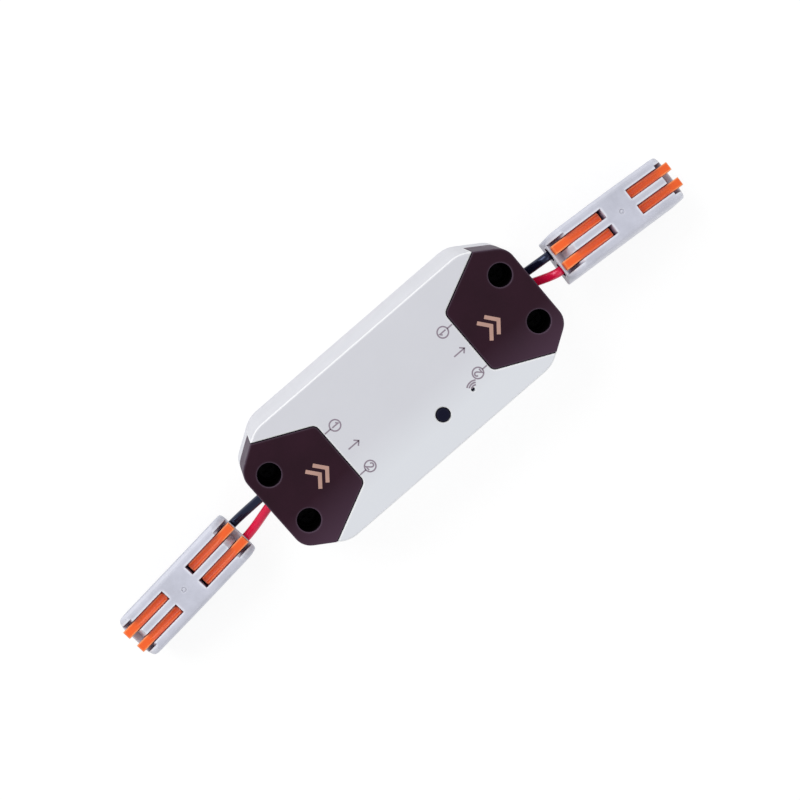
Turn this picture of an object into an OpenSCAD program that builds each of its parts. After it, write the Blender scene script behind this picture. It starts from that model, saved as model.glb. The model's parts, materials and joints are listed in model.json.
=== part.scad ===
// Smart power cutoff switch: an inline mains relay module, with a lever splice connector
// on the two leads of each end.
// Millimetres. X runs along the case from its input end to its output end, Z points up, and
// the origin is the centre of the case's underside.

/* [Case] */
// Length of the case
case_l = 88; // [84:0.5:94]
// Width of the case
case_w = 37.5; // [36.5:0.5:42]
// Height of the case
case_h = 24; // [23:0.5:28]
// Length of each corner chamfer, along the case
chamfer_l = 10.25; // [9.5:0.25:11.5]
// Width of each corner chamfer, across the case
chamfer_w = 6.8; // [6:0.1:7.4]
// Rounding of the upright corners beside the flat ends
end_corner_r = 5; // [3:0.5:7]
// Rounding of the upright corners beside the straight sides
side_corner_r = 8; // [4:0.5:12]
// Rounding of the top edge
edge_r = 0.5; // [0.3:0.1:0.9]
// Thickness of the side walls
wall_t = 1.8; // [1.4:0.1:2.2]
// Thickness of the roof
roof_t = 1.8; // [1.4:0.1:2]
// Thickness of the base plate
base_t = 2; // [1.6:0.1:2.4]
// Gap round the base plate
base_gap = 0.1; // [0.05:0.05:0.2]
// Wall that parts the terminal space from the middle
partition_t = 1.2; // [0.8:0.1:1.4]

/* [End covers] */
// Length of a cover, from the case's end to its inner edge
cover_l = 22.5; // [21.8:0.1:23]
// Half width of a cover's inner edge
cover_in_y = 9.4; // [8.5:0.1:10.5]
// Distance of a cover's widest points from the case's end
cover_tip_in = 7.2; // [6.6:0.1:8]
// Rounding of a cover's inner corners
cover_corner_r = 1.8; // [1.4:0.1:2.2]
// Height of the skirt's lower edge
skirt_z = 9.1; // [8.5:0.1:9.6]
// Gap between a cover and the shell
cover_gap = 0.2; // [0.1:0.05:0.3]
// Bevel along both sides of that gap
seam_bevel = 0.25; // [0.1:0.05:0.3]
// Thickness of a cover's skirt
skirt_t = 1.6; // [1.2:0.1:2]
// Distance of the cover screws from the case's end
screw_in = 5.7; // [5.6:0.1:6]
// Distance of the cover screws from the long axis
screw_y = 7.7; // [7.7:0.1:8.2]
// Diameter of the screw wells
well_d = 6.2; // [5.8:0.1:6.4]
// Height of the ledge that a cover screw's head sits on
screw_seat_z = 13; // [12:0.5:15]
// Thickness of the plastic round a screw well
boss_t = 0.7; // [0.6:0.1:0.8]
// Diameter of a cover screw's shank
shank_d = 2.6; // [2.4:0.1:2.9]
// Width of the opening for the leads
exit_w = 8.4; // [7.8:0.2:9]
// Height of the leads' middle where they leave the case
exit_z = 11; // [10.8:0.1:11.2]

/* [Button and light] */
// Button's place along the case
button_x = 4.6; // [4:0.1:5]
// Button's place across the case
button_y = -9.8; // [-10.2:0.1:-9.4]
// Diameter of the button
button_d = 3.5; // [3.2:0.1:3.7]
// How far the button stands out of the roof
button_proud = 0.3; // [0.3:0.1:1]
// How far the button travels
button_travel = 0.25; // [0.15:0.05:0.25]
// Gap round the button in the roof
button_gap = 0.2; // [0.15:0.05:0.3]
// Light hole's place along the case
light_x = 14.5; // [14.3:0.1:15]
// Light hole's place across the case
light_y = -9.9; // [-10.4:0.1:-9.5]
// Diameter of the light hole
light_d = 1.1; // [0.9:0.1:1.5]

/* [Circuit board] */
// Distance from each end of the case to the board
board_in = 11; // [10.8:0.1:12.5]
// Distance from each side of the case to the board
board_side = 3.45; // [3.2:0.05:3.8]
// Thickness of the board
board_t = 1.6; // [1.2:0.1:1.6]
// Height of the board's top face
board_z = 7; // [6.8:0.1:7.2]
// Size of the relay's case along the module
relay_l = 19; // [17:0.1:21]
// Size of the relay's case across the module
relay_w = 15.4; // [14:0.1:16]
// Gap between the relay and the ceiling
relay_clear = 0.8; // [0.5:0.1:2]
// Distance between the two ways of a terminal block
way_pitch = 5; // [4.8:0.1:5.1]

/* [Leads] */
// Outer diameter of a lead
lead_d = 2.4; // [2.2:0.1:2.5]
// Diameter of its bare copper end
copper_d = 1.3; // [1:0.1:1.4]

/* [Splice connectors] */
// Length of a connector's housing
splice_l = 39; // [38.6:0.1:39.6]
// Width of a connector's housing
splice_w = 13; // [12.8:0.1:14]
// Height of a connector's housing at its middle
splice_h = 14.5; // [14.2:0.1:15.5]
// Distance between the two ways of a connector
pole_pitch = 4.9; // [4.7:0.1:5]
// Half distance between the inner ends of two opposite lever slots
slot_in = 4.25; // [4:0.05:4.4]
// Fall of the roof towards each end, in degrees
roof_fall = 8.4; // [7.4:0.2:9]
// Width of a lever
lever_w = 2.6; // [2.2:0.1:2.6]
// Gap on each side of a lever
lever_gap = 0.1; // [0.08:0.01:0.14]
// Distance from the middle of the housing to a lever's tip
lever_tip = 19.75; // [19.4:0.05:20.4]
// Distance from the middle of the housing to a lever's pins
pin_u = 7.3; // [7.2:0.05:7.6]
// Height of a lever's pins above the housing's underside
pin_w = 11.35; // [11.2:0.05:11.5]
// Diameter of a lever's pins
pin_d = 1.6; // [1.4:0.1:1.8]
// Length of each pin
pin_l = 0.5; // [0.4:0.05:0.6]
// Running gap round a pin
pin_gap = 0.04; // [0.02:0.01:0.08]
// Diameter of a wire port
port_d = 4; // [3.6:0.1:4.1]
// Depth of a wire port
port_depth = 4; // [3.6:0.1:4.2]
// Height of the ports' axes above the housing's underside
port_w = 5; // [4.9:0.1:5.1]

/* [Hidden] */

$fn = 48;
// Segments in each rounded corner of the case's outline, and of a cover's seam
corner_steps = 6;
arc_steps = 4;
// Where a cutting solid runs past the face that it cuts
over = 0.5;

// Height of the hollow's ceiling
ceiling_z = case_h - roof_t;
// Small slope on the bottom edge of the case
bottom_edge = 0.3;
end_flat = case_w - 2*chamfer_w;
side_flat = case_l - 2*chamfer_l;
cover_in_x = case_l/2 - cover_l;
cover_out_x = case_l/2 - cover_tip_in;
screw_x = case_l/2 - screw_in;
// Half length of the room between the two partitions
room_x = cover_in_x - cover_gap - partition_t;
// Corner of the chamfered wall beside an end, and its outward direction
chamfer_p = [case_l/2, end_flat/2];
chamfer_q = [side_flat/2, case_w/2];
chamfer_dir = unit(chamfer_q - chamfer_p);
chamfer_out = [chamfer_dir.y, -chamfer_dir.x];
// Widest point of a cover, on the chamfered wall
cover_tip = chamfer_p + chamfer_dir*((chamfer_p.x - cover_out_x)/-chamfer_dir.x);
cover_side_dir = unit(cover_tip - [cover_in_x, cover_in_y]);
cover_side_out = [-cover_side_dir.y, cover_side_dir.x];
// Top of the opening for the leads
exit_top = exit_z + 1.8;
// Cover screw
head_d = 5.4;
head_h = 2;
shank_gap = 0.3;
well_rim = 0.2;
pilot_gap = 0.05;
screw_tip_z = 3;
post_d = 6.4;
// Board, and its screws in the places that the parts leave free
board_l = case_l - 2*board_in;
board_w = case_w - 2*board_side;
screw_edge = 2.4;
board_screw_at = [
    [3 - room_x, board_w/2 - screw_edge], [room_x - 2, board_w/2 - screw_edge],
    [3 - room_x, screw_edge - board_w/2], [light_x - 3.9, screw_edge - board_w/2]];
board_head_d = 4;
board_head_h = 1.5;
board_shank_d = 2;
standoff_d = 4.6;
board_bottom = board_z - board_t;
// Snaps that hold the base plate in the shell
snap_at = [-14, 14];
snap_w = 7;
snap_t = 1.1;
snap_bead = 0.5;
snap_z = 5.2;
// Tact switch
switch_w = 6;
switch_h = 3.5;
switch_z = board_z;
stem_gap = 0.1;
stem_flange_d = 4.4;
stem_flange_h = 0.8;
// Terminal block
block_out = case_l/2 - board_in;
block_in = block_out - 10;
block_w = 2*way_pitch + 0.4;
block_h = 10.4;
block_x = (block_in + block_out)/2;
way_d = 3.2;
cage_l = 3.4;
cage_w = 3.8;
cage_gap = 0.1;
cage_bottom = 8.6;
cage_top = 13.6;
clamp_screw_d = 2.8;
clamp_head_d = 3.6;
// Light and its holder
light_body_d = 3;
light_flange_d = 3.8;
light_base_z = ceiling_z - 6;
// Tall parts, from the input end to the output end
part_gap = 0.5;
x_cap = [4.6, 11.4, 10];
x_cap_at = [part_gap + x_cap.x/2 - room_x, board_w/2 - 5 - x_cap.y/2];
relay_at = [x_cap_at.x + x_cap.x/2 + part_gap + relay_l/2, board_w/2 - 1 - relay_w/2];
relay_h = ceiling_z - board_z - relay_clear;
core = [10, 12, 10.6];
window_w = 3.2;
window_mid = 3.1;
coil_gap = 0.1;
coil_foot = 1;
coil_l = core.x + 2*coil_gap + 2*coil_foot;
bulk_d = 7.8;
bulk_h = 12;
bulk_at = [light_x - 3.3, light_y + 4.9];
transformer_at = [relay_at.x + relay_l/2 + part_gap + coil_l/2,
    bulk_at.y + bulk_d/2 + 0.2 + core.y/2];
// Parts beside the terminal blocks
can_d = 5;
can_h = 9;
fuse_d = 3.2;
fuse_l = 7;
disc_d = 7;
disc_t = 2.6;
// Boards of the wireless chip and the radio receiver, and the receiver's coiled aerial
wireless = [14, 12, 0.8];
wireless_at = [button_x - switch_w/2 - 1.5 - wireless.x/2, button_y + 0.8];
radio = [0.8, 7.6, 9];
radio_at = [1.3 - room_x, button_y + 3.4];
aerial_r = 1.4;
aerial_wire_d = 0.5;
aerial_turns = 7;
aerial_pitch = 0.9;
aerial_steps = 10;
aerial_at = [radio_at.x + radio.x/2 + 0.5 + aerial_r + aerial_wire_d/2, radio_at.y];
// Leads: how far across the case the black and the red one leave it
input_exit_y = [2.5, -0.5];
output_exit_y = [1.8, -1.4];
lead_start_x = block_out + 0.2;
lead_straight_x = lead_start_x + 2.8;
lead_sides = 8;
lead_rings = 7;
// How far a lead reaches into its port, and how far its copper goes on
lead_in_port = 3;
copper_in_splice = 6.5;
copper_in_block = 7;

// Distance from each end of the case to the middle of its connector
splice_off = [29.5, 24.9];
// Connector poses: [X, Y, turn about Z, tilt about Y, roll about X]; each lies with its lowest
// edge on the surface that the case stands on, and the stiff leads hold its near end up
input_splice = [-case_l/2 - splice_off[0], -3.65, 6, -2.4, -8.2];
output_splice = [case_l/2 + splice_off[1], -3.9, -6.9, 14, -12.8];
splice_lift_gap = 0.05;
end_corner = 2;
long_edge_r = 1.4;
bottom_edge_r = 0.4;
// Outline of the roof's end from the side: distance from the middle and height
end_profile = [[16, 12.75], [17, 11.9], [18, 10.5], [18.8, 9.1], [19.5, 7.6]];
foot_u = splice_l/2 - 1.5;
lip_w = 7.4;
slot_floor = 7.8;
recess_u = 14.6;
recess_ramp = 2.8;
recess_side = 0.8;
slot_w = lever_w + 2*lever_gap;
guide_d = 2.8;
chamber_out = 13;
lid_t = 1.2;
lid_l = 29;
lid_w = 10.4;
lid_gap = 0.08;
bar_top = port_w - copper_d/2 - 0.1;
bar_t = 0.8;
// Lever, in its own frame: the origin is its pin, and the arm runs along +X
lever_top = 1.35;
lever_under = -1.1;
lever_hub_r = 2.7;
lever_back = -2.3;
lever_reach = (lever_tip - pin_u - lever_top*sin(roof_fall))/cos(roof_fall);
groove_l = 9.4;
groove_r = 0.9;
groove_depth = 0.7;

function unit(v) = v/norm(v);
function turn_x(a, p) = [p.x, p.y*cos(a) - p.z*sin(a), p.y*sin(a) + p.z*cos(a)];
function turn_y(a, p) = [p.x*cos(a) + p.z*sin(a), p.y, p.z*cos(a) - p.x*sin(a)];
function turn_z(a, p) = [p.x*cos(a) - p.y*sin(a), p.x*sin(a) + p.y*cos(a), p.z];

// Outline of the case in plan, drawn in by inset, counter-clockwise
case_corners = [
    [case_l/2, -end_flat/2, end_corner_r], [case_l/2, end_flat/2, end_corner_r],
    [side_flat/2, case_w/2, side_corner_r], [-side_flat/2, case_w/2, side_corner_r],
    [-case_l/2, end_flat/2, end_corner_r], [-case_l/2, -end_flat/2, end_corner_r],
    [-side_flat/2, -case_w/2, side_corner_r], [side_flat/2, -case_w/2, side_corner_r]];
function flat(p) = [p.x, p.y];
function outline(inset) = [
    for (i = [0:7])
        let (
            here = flat(case_corners[i]),
            before = unit(here - flat(case_corners[(i + 7) % 8])),
            after = unit(flat(case_corners[(i + 1) % 8]) - here),
            in_a = [-before.y, before.x],
            in_b = [-after.y, after.x],
            r = case_corners[i].z,
            middle = here + (in_a + in_b)*r/(1 + in_a*in_b),
            start = atan2(-in_a.y, -in_a.x),
            sweep = acos(in_a*in_b)
        )
        for (k = [0:corner_steps])
            let (t = start + sweep*k/corner_steps)
            middle + (r - inset)*[cos(t), sin(t)]];

// Plan of the space that a cover takes out of the shell, grown by g where they face each other
function meet(n1, d1, n2, d2) =
    let (det = n1.x*n2.y - n1.y*n2.x)
    [(d1*n2.y - d2*n1.y)/det, (d2*n1.x - d1*n2.x)/det];
function seam_side(g) = cover_side_out*[cover_in_x, cover_in_y] + g;
function seam_arc(g) =
    let (
        r = cover_corner_r,
        bend = meet([-1, 0], -r - cover_in_x, cover_side_out, seam_side(-r)),
        side_angle = atan2(cover_side_out.y, cover_side_out.x)
    )
    [for (k = [0:arc_steps])
        let (a = side_angle + (180 - side_angle)*k/arc_steps)
        bend + (r + g)*[cos(a), sin(a)]];
function mirrored(points) = [for (i = [len(points) - 1:-1:0]) [points[i].x, -points[i].y]];
function zone(g) =
    let (
        tip = meet(cover_side_out, seam_side(g), chamfer_dir, chamfer_dir*cover_tip + g),
        far = tip + chamfer_out*12,
        half = concat([[case_l, far.y], far, tip], seam_arc(g))
    )
    concat(mirrored(half), half);
function zone_at(g, z) = [for (p = zone(g)) [p.x, p.y, z]];

// Plan of a cover, with its seam moved out by g and its outer walls drawn in by inset
function cover_plan(g, inset) =
    let (
        wall_d = chamfer_out*chamfer_p - inset,
        tip = meet(cover_side_out, seam_side(g), chamfer_out, wall_d),
        half = concat([tip], seam_arc(g)),
        walls = outline(inset)
    )
    concat(mirrored(half), [for (i = [0:2*corner_steps + 1]) walls[i]], half);
function cover_ring(g, inset, z) = [for (p = cover_plan(g, inset)) [p.x, p.y, z]];

// A closed solid through rings of points, each ring counter-clockwise seen from the last one.
// Its sides are flat quads, or pairs of triangles where the rings twist
module loft(rings, twisted = false) {
    n = len(rings[0]);
    m = len(rings);
    polyhedron(
        points = [for (ring = rings) for (p = ring) p],
        faces = concat(
            [[for (i = [0:n - 1]) i]],
            [[for (i = [n - 1:-1:0]) (m - 1)*n + i]],
            [for (j = [0:m - 2]) for (i = [0:n - 1])
                let (a = j*n + i, b = j*n + (i + 1) % n)
                each twisted ? [[a, a + n, b + n], [a, b + n, b]] : [[a, a + n, b + n, b]]]));
}

function ring_at(inset, z) = [for (p = outline(inset)) [p.x, p.y, z]];

// The case's outer form: shell and covers are cut from it
module case_form() {
    loft([
        ring_at(bottom_edge, 0),
        ring_at(0, bottom_edge),
        for (a = [0:22.5:90]) ring_at(edge_r*(1 - cos(a)), case_h - edge_r*(1 - sin(a)))]);
}

module both_ends() {
    for (turn = [0, 180]) rotate([0, 0, turn]) children();
}

module at_cover_screws() {
    for (side = [-1, 1]) translate([screw_x, side*screw_y, 0]) children();
}

module at_snaps(sides = [0, 180]) {
    for (turn = sides) rotate([0, 0, turn])
        for (x = snap_at) translate([x, case_w/2 - wall_t, 0]) children();
}

module top_shell() {
    color([0.83, 0.84, 0.87])
    difference() {
        union() {
            difference() {
                case_form();
                translate([0, 0, -over])
                    linear_extrude(ceiling_z + over) polygon(outline(wall_t));
                both_ends() {
                    translate([0, 0, skirt_z]) linear_extrude(case_h) polygon(zone(cover_gap));
                    // bevel along the seam
                    loft([
                        zone_at(cover_gap - over, case_h - seam_bevel - over),
                        zone_at(cover_gap + seam_bevel + over, case_h + over)]);
                }
            }
            both_ends() partition();
            translate([button_x, button_y, ceiling_z - 3])
                cylinder(d = button_d + 3, h = 3 + roof_t/2);
        }
        translate([button_x, button_y, 0])
            cylinder(d = button_d + 2*button_gap, h = case_h + over);
        translate([button_x, button_y, case_h - 0.25])
            cylinder(d1 = button_d + 2*button_gap, d2 = button_d + 2*button_gap + 1, h = 0.5);
        translate([light_x, light_y, 0]) cylinder(d = light_d, h = case_h + over);
        at_snaps() snap_pocket();
    }
}

// Wall along the inner side of a cover, from the ceiling down to the board
module partition() {
    foot_z = board_z + 0.6;
    translate([0, 0, foot_z]) linear_extrude(ceiling_z + roof_t/2 - foot_z)
        intersection() {
            polygon(outline(wall_t - 0.6));
            difference() {
                polygon(zone(cover_gap + partition_t));
                polygon(zone(cover_gap));
            }
        }
}

module snap_pocket() {
    room = 0.15;
    translate([-snap_w/2 - room, -over, snap_z - room])
        cube([snap_w + 2*room, over + snap_bead + room, 1.2 + 2*room]);
}

module base_plate() {
    color([0.81, 0.82, 0.85])
    difference() {
        union() {
            linear_extrude(base_t) polygon(outline(wall_t + base_gap));
            both_ends() at_cover_screws() translate([0, 0, base_t/2])
                cylinder(d = post_d, h = skirt_z - base_t/2 - 0.05);
            for (p = board_screw_at) translate([p.x, p.y, base_t/2])
                cylinder(d = standoff_d, h = board_bottom - base_t/2);
            at_snaps() snap();
        }
        both_ends() at_cover_screws() translate([0, 0, screw_tip_z - 0.5])
            cylinder(d = shank_d + 2*pilot_gap, h = skirt_z);
        for (p = board_screw_at) translate([p.x, p.y, base_t])
            cylinder(d = board_shank_d + 2*pilot_gap, h = board_z);
    }
}

// A tongue with a bead that clicks into the shell's wall
module snap() {
    bead_h = 1.2;
    translate([-snap_w/2, 0, base_t/2])
        rotate([90, 0, 90])
        linear_extrude(snap_w)
        polygon([[-snap_t - base_gap, 0], [-base_gap, 0], [-base_gap, snap_z - base_t/2],
            [snap_bead, snap_z - base_t/2 + bead_h/2], [-base_gap, snap_z - base_t/2 + bead_h],
            [-base_gap, snap_z - base_t/2 + bead_h + 0.6],
            [-snap_t - base_gap, snap_z - base_t/2 + bead_h + 0.6]]);
}

module end_cover() {
    top_t = 1.8;
    inner_wall = 1;
    hollow_h = case_h - top_t - skirt_z;
    difference() {
        union() {
            difference() {
                loft([
                    cover_ring(0, 0, skirt_z),
                    for (a = [0:22.5:90])
                        let (in = 1 - cos(a))
                        cover_ring(-seam_bevel*in, edge_r*in, case_h - edge_r*(1 - sin(a)))]);
                translate([0, 0, skirt_z - over])
                    linear_extrude(hollow_h + over) polygon(cover_plan(-inner_wall, skirt_t));
            }
            at_cover_screws() translate([0, 0, skirt_z])
                cylinder(d = well_d + 2*boss_t, h = hollow_h + top_t/2);
        }
        at_cover_screws() {
            translate([0, 0, screw_seat_z]) cylinder(d = head_d + 0.4, h = case_h);
            translate([0, 0, screw_seat_z + head_h + 0.2]) cylinder(d = well_d, h = case_h);
            translate([0, 0, case_h - well_rim]) cylinder(d1 = well_d, d2 = well_d + 4*well_rim,
                h = 2*well_rim);
            cylinder(d = shank_d + 2*shank_gap, h = case_h);
        }
        lead_exit();
    }
}

// Arched opening in the skirt for the two leads
module lead_exit() {
    arch_r = 1.4;
    translate([case_l/2 - 3, 0, 0]) rotate([90, 0, 90]) linear_extrude(6)
        union() {
            translate([-exit_w/2, 0]) square([exit_w, exit_top - arch_r]);
            translate([-exit_w/2 + arch_r, 0]) square([exit_w - 2*arch_r, exit_top]);
            for (side = [-1, 1]) translate([side*(exit_w/2 - arch_r), exit_top - arch_r])
                circle(arch_r);
        }
}

module input_cover() {
    color([0.24, 0.16, 0.19]) rotate([0, 0, 180]) end_cover();
}

module output_cover() {
    color([0.24, 0.16, 0.19]) end_cover();
}

module cover_screws() {
    slot_l = 3;
    slot_t = 0.7;
    color([0.1, 0.1, 0.11])
    both_ends() at_cover_screws() difference() {
        union() {
            translate([0, 0, screw_seat_z]) cylinder(d = head_d, h = head_h - 0.5);
            translate([0, 0, screw_seat_z + head_h - 0.5])
                cylinder(d1 = head_d, d2 = head_d - 1.2, h = 0.5);
            translate([0, 0, screw_tip_z])
                cylinder(d = shank_d, h = screw_seat_z - screw_tip_z + 1);
        }
        for (turn = [0, 90]) rotate([0, 0, turn])
            translate([-slot_l/2, -slot_t/2, screw_seat_z + head_h - 1.2])
            cube([slot_l, slot_t, 2]);
    }
}

module main_board() {
    cut_l = 16;
    cut_t = 1;
    corner = 2;
    x = board_l/2;
    y = board_w/2;
    color([0.1, 0.36, 0.2])
    translate([0, 0, board_bottom]) difference() {
        linear_extrude(board_t)
            polygon([[x - corner, -y], [x, -y + corner], [x, y - corner], [x - corner, y],
                [-x + corner, y], [-x, y - corner], [-x, -y + corner], [-x + corner, -y]]);
        for (p = board_screw_at) translate([p.x, p.y, -over])
            cylinder(d = board_shank_d + 0.6, h = board_t + 2*over);
        // slot that keeps the mains tracks apart from the low-voltage side
        translate([-cut_l/2 - 6, -2.2, -over]) cube([cut_l, cut_t, board_t + 2*over]);
    }
}

module board_screws() {
    color([0.75, 0.75, 0.72])
    for (p = board_screw_at) translate([p.x, p.y, 0]) difference() {
        union() {
            translate([0, 0, board_z]) cylinder(d = board_head_d, h = board_head_h);
            translate([0, 0, base_t + 0.4])
                cylinder(d = board_shank_d, h = board_z - base_t);
        }
        for (turn = [0, 90]) rotate([0, 0, turn])
            translate([-1.1, -0.25, board_z + board_head_h - 0.7]) cube([2.2, 0.5, 1]);
    }
}

module at_ways() {
    for (side = [-1, 1]) translate([block_x, side*way_pitch/2, 0]) children();
}

// Two-way screw terminal block of the output end
module terminal_block() {
    cage_room = cage_w + 2*cage_gap;
    color([0.16, 0.42, 0.26])
    difference() {
        translate([block_in, -block_w/2, board_z]) cube([block_out - block_in, block_w, block_h]);
        at_ways() {
            translate([0, 0, exit_z]) rotate([0, 90, 0]) cylinder(d = way_d, h = block_out);
            translate([-cage_l/2 - cage_gap, -cage_room/2, cage_bottom - 0.1])
                cube([cage_l + 2*cage_gap, cage_room, cage_top - cage_bottom + 0.5]);
            translate([0, 0, cage_top]) cylinder(d = clamp_head_d + 0.3, h = board_z + block_h);
        }
    }
}

module input_terminal_block() {
    rotate([0, 0, 180]) terminal_block();
}

module output_terminal_block() {
    terminal_block();
}

module terminal_cages() {
    window_h = 2.6;
    color([0.78, 0.76, 0.68])
    both_ends() at_ways() difference() {
        translate([-cage_l/2, -cage_w/2, cage_bottom])
            cube([cage_l, cage_w, cage_top - cage_bottom]);
        translate([-cage_l, -cage_w/2 + 0.7, exit_z - copper_d/2 - 0.1])
            cube([2*cage_l, cage_w - 1.4, window_h]);
        translate([0, 0, exit_z]) cylinder(d = clamp_screw_d + 0.1, h = cage_top);
    }
}

module terminal_screws() {
    head_h = 1.6;
    color([0.8, 0.79, 0.74])
    both_ends() at_ways() difference() {
        union() {
            translate([0, 0, exit_z + copper_d/2 + 0.05])
                cylinder(d = clamp_screw_d, h = cage_top + 0.9 - exit_z - copper_d/2);
            translate([0, 0, cage_top + 0.5]) cylinder(d = clamp_head_d, h = head_h);
        }
        translate([-clamp_head_d, -0.3, cage_top + 0.5 + head_h - 0.7])
            cube([2*clamp_head_d, 0.6, 2]);
    }
}

// A part with a soft top edge, standing on the board: its middle, size and height
module on_board(at, size, h, edge = 0.4) {
    translate([at.x, at.y, board_z]) union() {
        translate([-size.x/2, -size.y/2, 0]) cube([size.x, size.y, h - edge]);
        translate([-size.x/2 + edge, -size.y/2 + edge, 0])
            cube([size.x - 2*edge, size.y - 2*edge, h]);
    }
}

module relay() {
    color([0.1, 0.12, 0.16]) on_board(relay_at, [relay_l, relay_w], relay_h);
}

// Two E halves round the winding
module transformer_core() {
    yoke = 2.2;
    color([0.2, 0.2, 0.22])
    translate([transformer_at.x, transformer_at.y, board_z + 1.2]) difference() {
        translate([-core.x/2, -core.y/2, 0]) cube(core);
        for (side = [-1, 1]) translate([-core.x, side*window_mid - window_w/2, yoke])
            cube([2*core.x, window_w, core.z - 2*yoke]);
    }
}

// Coil round the core's middle leg, on a bobbin with two feet
module transformer_winding() {
    coil_w = 2*window_mid + window_w - 2*coil_gap;
    leg_w = 2*window_mid - window_w + 2*coil_gap;
    coil_z = 3.6;
    coil_h = core.z - 4.8;
    color([0.85, 0.62, 0.2])
    translate([transformer_at.x, transformer_at.y, board_z]) union() {
        difference() {
            translate([-coil_l/2, -coil_w/2, coil_z]) cube([coil_l, coil_w, coil_h]);
            translate([-core.x/2 - coil_gap, -leg_w/2, 0])
                cube([core.x + 2*coil_gap, leg_w, coil_z + coil_h + 1]);
        }
        for (x = [-coil_l/2, coil_l/2 - coil_foot]) translate([x, -coil_w/2, 0])
            cube([coil_foot, coil_w, coil_z + 1]);
    }
}

// Upright can with its lip at the top
module can_capacitor(at, d, h) {
    lip = 0.5;
    color([0.13, 0.14, 0.2])
    translate([at.x, at.y, board_z]) union() {
        cylinder(d = d, h = h - lip);
        cylinder(d = d - 2*lip, h = h);
    }
}

module bulk_capacitor() {
    can_capacitor(bulk_at, bulk_d, bulk_h);
}

module output_capacitor() {
    can_capacitor([block_x - 0.4, block_w/2 + 0.4 + can_d/2], can_d, can_h);
}

module x_capacitor() {
    color([0.85, 0.72, 0.2]) on_board(x_cap_at, x_cap, x_cap.z);
}

// A square wire standing on the board
module wire_leg(at, h) {
    wire = 0.6;
    translate([at.x - wire/2, at.y - wire/2, board_z]) cube([wire, wire, h]);
}

module varistor() {
    at = [-block_x - 0.6, block_w/2 + 1.4 + disc_t/2];
    stand = 1;
    color([0.1, 0.3, 0.6]) union() {
        translate([at.x, at.y, board_z + stand + disc_d/2]) rotate([90, 0, 0])
            cylinder(d = disc_d, h = disc_t, center = true);
        for (side = [-1, 1]) wire_leg(at + [1.8*side, 0], stand + disc_d/2);
    }
}

module fuse_resistor() {
    at = [-block_x, -block_w/2 - 1.4 - fuse_d/2];
    lift_z = 0.2 + fuse_d/2;
    color([0.35, 0.6, 0.45]) union() {
        translate([at.x - fuse_l/2, at.y, board_z + lift_z]) rotate([0, 90, 0])
            cylinder(d = fuse_d, h = fuse_l);
        for (side = [-1, 1]) {
            wire_leg(at + [side*(fuse_l/2 + 0.8), 0], lift_z + 0.3);
            translate([at.x + side*(fuse_l/2 + 0.3) - 0.7, at.y - 0.3, board_z + lift_z - 0.3])
                cube([1.4, 0.6, 0.6]);
        }
    }
}

// Under the board
module under_board(at, size, h) {
    translate([at.x - size.x/2, at.y - size.y/2, board_bottom - h]) cube([size.x, size.y, h]);
}

module bridge_rectifier() {
    color([0.12, 0.12, 0.13]) under_board([4 - block_x, 0], [5, 6.4], 2.4);
}

module regulator_chip() {
    color([0.12, 0.12, 0.13]) under_board([button_x, 2], [4, 5], 1.6);
}

module wireless_board() {
    color([0.08, 0.2, 0.3]) on_board(wireless_at, wireless, wireless.z, 0);
}

module wireless_shield() {
    color([0.75, 0.75, 0.76])
    translate([0, 0, wireless.z]) on_board(wireless_at + [-1.5, 0], [9.4, 9.4], 2.2, 0.3);
}

module radio_board() {
    color([0.08, 0.3, 0.2]) on_board(radio_at, radio, radio.z, 0);
}

module radio_aerial() {
    color([0.72, 0.45, 0.25])
    sweep([for (k = [0:aerial_turns*aerial_steps])
        let (a = 360*k/aerial_steps)
        [aerial_at.x + aerial_r*cos(a), aerial_at.y + aerial_r*sin(a),
            board_z + aerial_wire_d/2 + aerial_pitch*k/aerial_steps]], aerial_wire_d);
}

module status_light() {
    flange_h = 1;
    dome_z = light_base_z + 3.8;
    color([0.3, 0.5, 0.9, 0.7])
    translate([light_x, light_y, 0]) union() {
        translate([0, 0, light_base_z]) cylinder(d = light_flange_d, h = flange_h);
        translate([0, 0, light_base_z]) cylinder(d = light_body_d, h = dome_z - light_base_z);
        intersection() {
            translate([0, 0, dome_z]) sphere(d = light_body_d);
            translate([-light_body_d, -light_body_d, dome_z - 0.2])
                cube([2*light_body_d, 2*light_body_d, light_body_d]);
        }
    }
}

module light_holder() {
    color([0.1, 0.1, 0.1])
    translate([light_x, light_y, board_z]) difference() {
        cylinder(d = light_flange_d, h = light_base_z - board_z);
        translate([0, 0, 0.6]) cylinder(d = light_flange_d - 1.6, h = light_base_z);
    }
}

module switch_body() {
    well_z = switch_z + 1.5;
    color([0.12, 0.12, 0.12])
    difference() {
        translate([button_x - switch_w/2, button_y - switch_w/2, switch_z])
            cube([switch_w, switch_w, switch_h]);
        translate([button_x, button_y, well_z])
            cylinder(d = stem_flange_d + 0.4, h = stem_flange_h + button_travel + 0.4);
        translate([button_x, button_y, well_z]) cylinder(d = button_d + 2*stem_gap, h = switch_h);
    }
}

module switch_plate() {
    plate_t = 0.3;
    color([0.78, 0.78, 0.76])
    difference() {
        translate([button_x - switch_w/2, button_y - switch_w/2, switch_z + switch_h])
            cube([switch_w, switch_w, plate_t]);
        translate([button_x, button_y, switch_z])
            cylinder(d = button_d + 4*stem_gap, h = 2*switch_h);
    }
}

module push_button() {
    tip = 0.25;
    foot_z = switch_z + 1.5 + button_travel + 0.1;
    color([0.06, 0.06, 0.07])
    translate([button_x, button_y, 0]) union() {
        translate([0, 0, foot_z]) cylinder(d = stem_flange_d, h = stem_flange_h);
        translate([0, 0, foot_z]) cylinder(d = button_d, h = case_h + button_proud - tip - foot_z);
        translate([0, 0, case_h + button_proud - tip])
            cylinder(d1 = button_d, d2 = button_d - 2*tip, h = tip);
    }
}

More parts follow.
